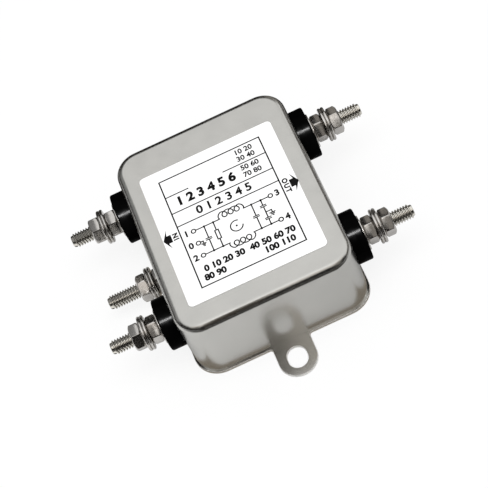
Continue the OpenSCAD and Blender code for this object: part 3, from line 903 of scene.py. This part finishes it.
def capacitor(x, y):
    """Two plates across an upright line, which is broken between them."""
    for side in (-1, 1):
        plate_y = y + side * PLATE_GAP / 2
        stroke([(x - PLATE_HALF, plate_y), (x + PLATE_HALF, plate_y)], PLATE_LINE)


def coil_symbol(y, side):
    """A row of loops on a rail, drawn as the path of a point on a rolling wheel."""
    half_length = HUMPS * HUMP_PITCH / 2
    last_point = HUMPS * HUMP_POINTS
    path = []
    for k in range(last_point + 1):
        turn = 2 * math.pi * k / HUMP_POINTS
        ease = min(1, k / EASE_POINTS, (last_point - k) / EASE_POINTS)
        path.append((-half_length + HUMP_PITCH * k / HUMP_POINTS - ease * HUMP_SWING * math.sin(turn),
                     y + side * ease * HUMP_RISE * (1 - math.cos(turn))))
    stroke(path)
    return half_length


def earth_symbol(x, y, half_width, narrowing, drop):
    """Three level bars, each shorter and lower than the one before."""
    for k in range(3):
        half = half_width - narrowing * k
        stroke([(x - half, y - drop * k), (x + half, y - drop * k)])


print("symbols ready")

# %% Draw the circuit
RAIL_TOP, RAIL_LOW = -2.6, -11.2
RAIL_LEFT, RAIL_RIGHT = -11.3, 11.5
TERMINAL_RING = 0.62
TERMINAL_GAP = 0.75
JOINT_DOT = 0.36
CAPACITORS_X = (-8.2, 5.8)
RESISTOR_X, RESISTOR_HALF_WIDTH, RESISTOR_HALF = -5.5, 0.5, 1.5
EARTHED_X, UPPER_EARTHED_Y, LOWER_EARTHED_Y = 8.6, -4.75, -9.05
RIGHT_EARTH_X, LEFT_EARTH_X = 10.2, -9.95
CORE_SIGN, CORE_DOT = 1.75, 0.3
middle = (RAIL_TOP + RAIL_LOW) / 2

for y, side in ((RAIL_TOP, 1), (RAIL_LOW, -1)):
    half = coil_symbol(y, side)
    level(y, RAIL_LEFT + TERMINAL_GAP, -half, half, RAIL_RIGHT - TERMINAL_GAP)
    for x in (RAIL_LEFT, RAIL_RIGHT):
        ring(x, y, TERMINAL_RING)
    for x in (*CAPACITORS_X, RESISTOR_X, EARTHED_X):
        disc(x, y, JOINT_DOT)
for x in CAPACITORS_X:
    capacitor(x, middle)
    upright(x, RAIL_TOP, middle + PLATE_GAP / 2, middle - PLATE_GAP / 2, RAIL_LOW)
box(RESISTOR_X - RESISTOR_HALF_WIDTH, middle - RESISTOR_HALF,
    RESISTOR_X + RESISTOR_HALF_WIDTH, middle + RESISTOR_HALF)
upright(RESISTOR_X, RAIL_TOP, middle + RESISTOR_HALF, middle - RESISTOR_HALF, RAIL_LOW)
for y in (UPPER_EARTHED_Y, LOWER_EARTHED_Y):
    capacitor(EARTHED_X, y)
upright(EARTHED_X, RAIL_TOP, UPPER_EARTHED_Y + PLATE_GAP / 2, UPPER_EARTHED_Y - PLATE_GAP / 2, middle,
        middle, LOWER_EARTHED_Y + PLATE_GAP / 2, LOWER_EARTHED_Y - PLATE_GAP / 2, RAIL_LOW)
ring(RAIL_LEFT, middle, TERMINAL_RING)
for start, x, lead, half_width, narrowing, drop in (
    (EARTHED_X, RIGHT_EARTH_X, 0.9, 0.9, 0.3, 0.45),
    (RAIL_LEFT + TERMINAL_RING, LEFT_EARTH_X, 0.8, 0.75, 0.26, 0.42),
):
    stroke([(start, middle), (x, middle), (x, middle - lead)])
    earth_symbol(x, middle - lead, half_width, narrowing, drop)
stroke(arc(0, middle, CORE_SIGN, 60, 350, 22))
disc(0, middle, CORE_DOT)
print("circuit drawn:", len(print_shape.faces), "faces so far")

# %% [markdown]
# An arrow on each side shows which way the mains passes through.

# %% Draw the two arrows
ARROW_Y = -1.7
ARROW_TIPS = ((-1, -19.9), (1, 20.2))
NECK_BACK, BARB_BACK, TAIL_BACK = 1.25, 1.7, 2.45
SHAFT_HALF, BARB_HALF = 1.3, 3.2

for side, tip in ARROW_TIPS:
    neck, barb, tail = (tip - side * back for back in (NECK_BACK, BARB_BACK, TAIL_BACK))
    for outline in (
        ((tip, 0), (barb, BARB_HALF), (neck, SHAFT_HALF), (neck, 0)),
        ((tip, 0), (neck, 0), (neck, -SHAFT_HALF), (barb, -BARB_HALF)),
        ((neck, -SHAFT_HALF), (neck, SHAFT_HALF), (tail, SHAFT_HALF), (tail, -SHAFT_HALF)),
    ):
        ink_face([(x, ARROW_Y + y) for x, y in outline])
ink_mesh = finished_mesh("print", print_shape)
print("arrows drawn")

# %% [markdown]
# Digits and the words IN and OUT are typed with the built-in font, and then turned into
# meshes. A row of digits stands where a maker would print values.

# %% Type words and digits
FONT_HEIGHT = 0.7
FONT_STEPS = 4


def typed(words, x, y, height, bold, turn=0, spacing=1.0):
    """Words centred on a place of the label, as a mesh."""
    curve = bpy.data.curves.new(words, "FONT")
    curve.body = words
    curve.size = height * MM / FONT_HEIGHT
    curve.align_x = "CENTER"
    curve.align_y = "CENTER"
    curve.space_character = spacing
    curve.offset = bold * MM
    curve.extrude = (INK_TOP - INK_BOTTOM) / 2
    curve.resolution_u = FONT_STEPS
    holder = new_piece("typed", curve)
    graph = bpy.context.evaluated_depsgraph_get()
    mesh = bpy.data.meshes.new_from_object(holder.evaluated_get(graph))
    bpy.data.objects.remove(holder)
    place = Matrix.Translation((x * MM, y * MM, (INK_TOP + INK_BOTTOM) / 2))
    mesh.transform(place @ Matrix.Rotation(math.radians(turn), 4, "Z"))
    return mesh


TITLE = {"height": 2.8, "bold": 0.2}
ROW = {"height": 2.6, "bold": 0.12}
SMALL = {"height": 1.65, "bold": 0.08}
VALUE = {"height": 1.9, "bold": 0.15}
MARK = {"height": 1.9, "bold": 0.12}
SIDE_WORD = {"height": 1.45, "bold": 0.11, "spacing": 1.25}
LEFT_MARK, RIGHT_MARK, SMALL_X = -13.4, 13.5, 9.9
prints = [
    ("1 2 3 4 5 6", -3.7, 8.6, TITLE),
    ("10 20", SMALL_X, 15.6, SMALL),
    ("30 40", SMALL_X, 13.2, SMALL),
    ("50 60", SMALL_X, 9.9, SMALL),
    ("70 80", SMALL_X, 7.4, SMALL),
    ("0 1 2", -4.6, 3.2, ROW),
    ("3 4 5", 4.2, 3.2, ROW),
    ("0 10 20 30", -6.6, -15.5, VALUE),
    ("40 50 60 70", 7.4, -15.5, VALUE),
    ("80 90", -10.2, -18.3, VALUE),
    ("100 110", 8.6, -18.3, VALUE),
    ("1", LEFT_MARK, RAIL_TOP, MARK),
    ("2", LEFT_MARK, RAIL_LOW, MARK),
    ("3", RIGHT_MARK, RAIL_TOP, MARK),
    ("4", RIGHT_MARK, RAIL_LOW, MARK),
    ("0", LEFT_MARK, middle, MARK),
    ("IN", -16.25, ARROW_Y, {**SIDE_WORD, "turn": 90}),
    ("OUT", 16.6, ARROW_Y, {**SIDE_WORD, "turn": -90}),
]
print("places with digits or a word:", len(prints))

# %% Join the print into one piece
joined = bmesh.new()
joined.from_mesh(ink_mesh)
for words, x, y, style in prints:
    joined.from_mesh(typed(words, x, y, **style))
ink_mesh = bpy.data.meshes.new("label_print")
joined.to_mesh(ink_mesh)
joined.free()
label_print = new_piece("label_print", ink_mesh)
ink_mesh.materials.append(INK)
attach(label_print, body_of_node["label"])
print("print with", len(ink_mesh.polygons), "faces")

# %% [markdown]
# ## The floor and the light
# The filter stands on a white floor in a white room. The floor and the world show white
# to the camera, but light the filter only at a plain level. In the metal the floor has painted
# shade: darker than white, and a little darker on the right than on the left.

# %% The white floor
FLOOR_HALF = 3.0
FLOOR_DROP = 0.01 * MM
FLOOR_GLOW = 0.86
PAPER_WHITE = 0.88
# Painted shade: the floor's tone as the metal mirrors it, from left to right.
PAPER_IN_METAL = (0.74, 0.6)
PAPER_CHANGE_HALF = 25 * MM


def seen_by(tree, camera_sees, mirrors_see, otherwise):
    """A value that differs for the camera, for mirroring metal, and for plain light."""
    path = add_node(tree, "ShaderNodeLightPath").outputs
    direct = calculate(tree, "MAXIMUM", path["Is Camera Ray"], path["Is Transmission Ray"])
    value = calculate(tree, "MULTIPLY_ADD", direct, camera_sees - otherwise, otherwise)
    return calculate(tree, "MULTIPLY_ADD", path["Is Glossy Ray"], mirrors_see - otherwise, value)


floor_mesh = bpy.data.meshes.new("floor")
floor_mesh.from_pydata([(x * FLOOR_HALF, y * FLOOR_HALF, 0) for x, y in ((-1, -1), (1, -1), (1, 1), (-1, 1))],
                       [], [(0, 1, 2, 3)])
floor = new_piece("floor", floor_mesh)
floor.location.z = -FLOOR_DROP
paper = bpy.data.materials.new("white paper")
paper.use_nodes = True
tree = paper.node_tree
tree.nodes.clear()
where = add_node(tree, "ShaderNodeTexCoord").outputs["Object"]
across_floor = add_node(tree, "ShaderNodeSeparateXYZ", {0: where}).outputs["X"]
in_metal = add_node(tree, "ShaderNodeMapRange", {
    "Value": across_floor, "From Min": -PAPER_CHANGE_HALF, "From Max": PAPER_CHANGE_HALF,
    "To Min": PAPER_IN_METAL[0], "To Max": PAPER_IN_METAL[1],
}).outputs["Result"]
mirrored = add_node(tree, "ShaderNodeLightPath").outputs["Is Glossy Ray"]
shade = add_node(tree, "ShaderNodeMix", {0: mirrored, 2: PAPER_WHITE, 3: in_metal}, data_type="FLOAT")
matte = add_node(tree, "ShaderNodeBsdfDiffuse", {"Color": shade.outputs[0]})
glow = add_node(tree, "ShaderNodeEmission", {"Color": (1, 1, 1, 1), "Strength": 1.0})
blended = add_node(tree, "ShaderNodeMixShader", {
    0: seen_by(tree, FLOOR_GLOW, 0.0, 0.0), 1: matte.outputs[0], 2: glow.outputs[0],
})
add_node(tree, "ShaderNodeOutputMaterial", {"Surface": blended.outputs[0]})
floor_mesh.materials.append(paper)
print("floor", 2 * FLOOR_HALF, "m wide")

# %% The white room
WORLD_LIGHT = 0.75
world = bpy.data.worlds.new("white room")
world.use_nodes = True
tree = world.node_tree
tree.nodes.clear()
strength = seen_by(tree, 1.0, 1.0, WORLD_LIGHT)
air = add_node(tree, "ShaderNodeBackground", {"Color": (1, 1, 1, 1), "Strength": strength})
add_node(tree, "ShaderNodeOutputWorld", {"Surface": air.outputs[0]})
bpy.context.scene.world = world
print("world lights at", WORLD_LIGHT)

# %% [markdown]
# Metal shows what stands round it. Dark and grey cards stand round the filter, as a
# photographer sets them up. The camera never sees them and they throw no shadow, but the
# metal mirrors them, and they draw the dark line along the can's rounded edge. Small
# cards near the filter darken single facets of the nuts, and dark strips on the floor give
# the lower edges something dark to mirror. A brown sheet close round the base is a painted
# contact shadow, which the can's walls mirror at their foot.

# %% Make a card that only metal sees
CARD_DISTANCE = 0.9
CARD_STEPS = 16
cards = []


def card(name, corners, faces, tone):
    """A sheet that only mirroring metal sees."""
    mesh = bpy.data.meshes.new(name)
    mesh.from_pydata(corners, [], faces)
    paint = bpy.data.materials.new(name)
    paint.use_nodes = True
    paint.node_tree.nodes.clear()
    shown = add_node(paint.node_tree, "ShaderNodeEmission", {"Color": (*tone, 1), "Strength": 1.0})
    add_node(paint.node_tree, "ShaderNodeOutputMaterial", {"Surface": shown.outputs[0]})
    mesh.materials.append(paint)
    sheet = new_piece(name, mesh)
    sheet.visible_camera = False
    sheet.visible_diffuse = False
    sheet.visible_transmission = False
    sheet.visible_shadow = False
    cards.append(sheet)


def standing_card(name, azimuths, heights, tone):
    """A curved card, between angles: azimuth 0 is the front and 90 the right."""
    corners, faces = [], []
    for k in range(CARD_STEPS + 1):
        around = math.radians(azimuths[0] + (azimuths[1] - azimuths[0]) * k / CARD_STEPS)
        for m in range(CARD_STEPS + 1):
            rise = math.radians(heights[0] + (heights[1] - heights[0]) * m / CARD_STEPS)
            reach, up_by = CARD_DISTANCE * math.cos(rise), CARD_DISTANCE * math.sin(rise)
            corners.append((reach * math.sin(around), -reach * math.cos(around), up_by))
            if k < CARD_STEPS and m < CARD_STEPS:
                a = k * (CARD_STEPS + 1) + m
                faces.append((a, a + 1, a + CARD_STEPS + 2, a + CARD_STEPS + 1))
    card(name, corners, faces, tone)


def flat_card(name, corners, tone):
    """A card with its four corners listed in order, in millimetres."""
    card(name, [tuple(value * MM for value in corner) for corner in corners], [(0, 1, 2, 3)], tone)


def upright_card(name, sides, y, heights, tone):
    flat_card(name, [(sides[0], y, heights[0]), (sides[1], y, heights[0]),
                     (sides[1], y, heights[1]), (sides[0], y, heights[1])], tone)


def lying_card(name, sides, ends, z, tone):
    flat_card(name, [(sides[0], ends[0], z), (sides[1], ends[0], z),
                     (sides[1], ends[1], z), (sides[0], ends[1], z)], tone)


print("card makers ready")

# %% Stand the large cards round the filter
NEAR_BLACK = (0.02, 0.019, 0.018)
WARM_DARK = (0.12, 0.11, 0.1)
WARM_GREY = (0.9, 0.85, 0.8)
PALE_GREY = (0.75, 0.73, 0.7)
BRIGHT = (1.35, 1.35, 1.35)
FRONT, LEFT, BACK, RIGHT = (-65, 65), (-160, -65), (150, 210), (65, 150)
standing_card("front_card", FRONT, (1, 42), NEAR_BLACK)
standing_card("front_card_middle", FRONT, (42, 52), PALE_GREY)
standing_card("front_card_high", FRONT, (52, 66), WARM_GREY)
standing_card("white_card", FRONT, (68, 88), BRIGHT)
standing_card("left_card", LEFT, (3, 50), NEAR_BLACK)
standing_card("back_card", BACK, (0, 42), NEAR_BLACK)
standing_card("right_card", RIGHT, (1, 26), WARM_DARK)
print(len(cards), "standing cards")

# %% Place the small cards and the floor's strips, in millimetres
SHADE = (0.27, 0.27, 0.27)
WARM_SHADE = (0.27, 0.255, 0.235)
DEEP_SHADE = (0.2, 0.19, 0.18)
EAR_DARK = (0.06, 0.05, 0.04)
STRIP_DARK = (0.06, 0.057, 0.054)
CONTACT_SHADOW_TONE = (0.26, 0.23, 0.19)
LOAD_NUTS = (35, 65)
STRIP = (-200, 200)
STRIP_END = 880
CONTACT_SHADOW_MARGIN = 2.2
lying_card("shade_over_line_nuts", (-80, -37), (-15, 70), 50, SHADE)
upright_card("card_behind_load_nuts", LOAD_NUTS, 85, (15, 62), WARM_SHADE)
upright_card("card_before_load_nuts", LOAD_NUTS, -85, (42, 130), WARM_SHADE)
upright_card("card_before_line_neutral", (-62, -34), -60, (48, 80), DEEP_SHADE)
upright_card("ear_shade", (-22, -2), -60, (30, 85), EAR_DARK)
lying_card("front_strip", STRIP, (-58, -STRIP_END), 0, STRIP_DARK)
lying_card("back_strip", STRIP, (38, STRIP_END), 0, STRIP_DARK)
# A painted contact shadow: a brown sheet just round the base, which only the metal sees.
shadow_half_x, shadow_half_y = can_high.x / MM + CONTACT_SHADOW_MARGIN, can_high.y / MM + CONTACT_SHADOW_MARGIN
lying_card("dark_mat", (-shadow_half_x, shadow_half_x), (-shadow_half_y, shadow_half_y), 0, CONTACT_SHADOW_TONE)
print(len(cards), "cards in all")

# %% [markdown]
# A broad lamp overhead gives the soft shadow. A second, long and narrow one shines on the
# black bushings only, where it draws the bright streak that shows that they are glossy.
# A third, weak one lights only the studs, nuts and washers from the front.

# %% The three lamps
LAMP_DISTANCE = 0.9


def overhead_lamp(name, tilt, length, width, watts):
    """A lamp above the filter, tilted to the front by an angle in degrees."""
    data = bpy.data.lights.new(name, "AREA")
    data.shape = "RECTANGLE"
    data.size = length
    data.size_y = width
    data.energy = watts
    lamp = bpy.data.objects.new(name, data)
    bpy.context.scene.collection.objects.link(lamp)
    lean = math.radians(tilt)
    lamp.location = (0, -LAMP_DISTANCE * math.sin(lean), LAMP_DISTANCE * math.cos(lean))
    lamp.rotation_euler = (-lean, 0, 0)
    return lamp


def light_only(lamp, pieces):
    lit = bpy.data.collections.new("lit by " + lamp.name)
    for piece in pieces:
        lit.objects.link(piece)
    lamp.light_linking.receiver_collection = lit


broad = overhead_lamp("broad_lamp", tilt=8, length=1.0, width=0.6, watts=5.0)
broad.visible_glossy = False
streak = overhead_lamp("streak_lamp", tilt=20, length=0.9, width=0.14, watts=600.0)
light_only(streak, [nodes[terminal + "_bushing"] for terminal in TERMINALS])
nut_fill = overhead_lamp("nut_fill_lamp", tilt=40, length=0.9, width=0.3, watts=1.3)
hardware = (FINISHES["plated_steel"], THREAD_FINISH)
light_only(nut_fill, [
    piece for piece in bpy.data.objects
    if piece.type == "MESH" and piece.data.materials[:1] and piece.data.materials[0] in hardware
    and piece not in nodes.values()
])
bpy.context.scene.view_settings.view_transform = "Standard"
print("lamps:", len(bpy.data.lights))
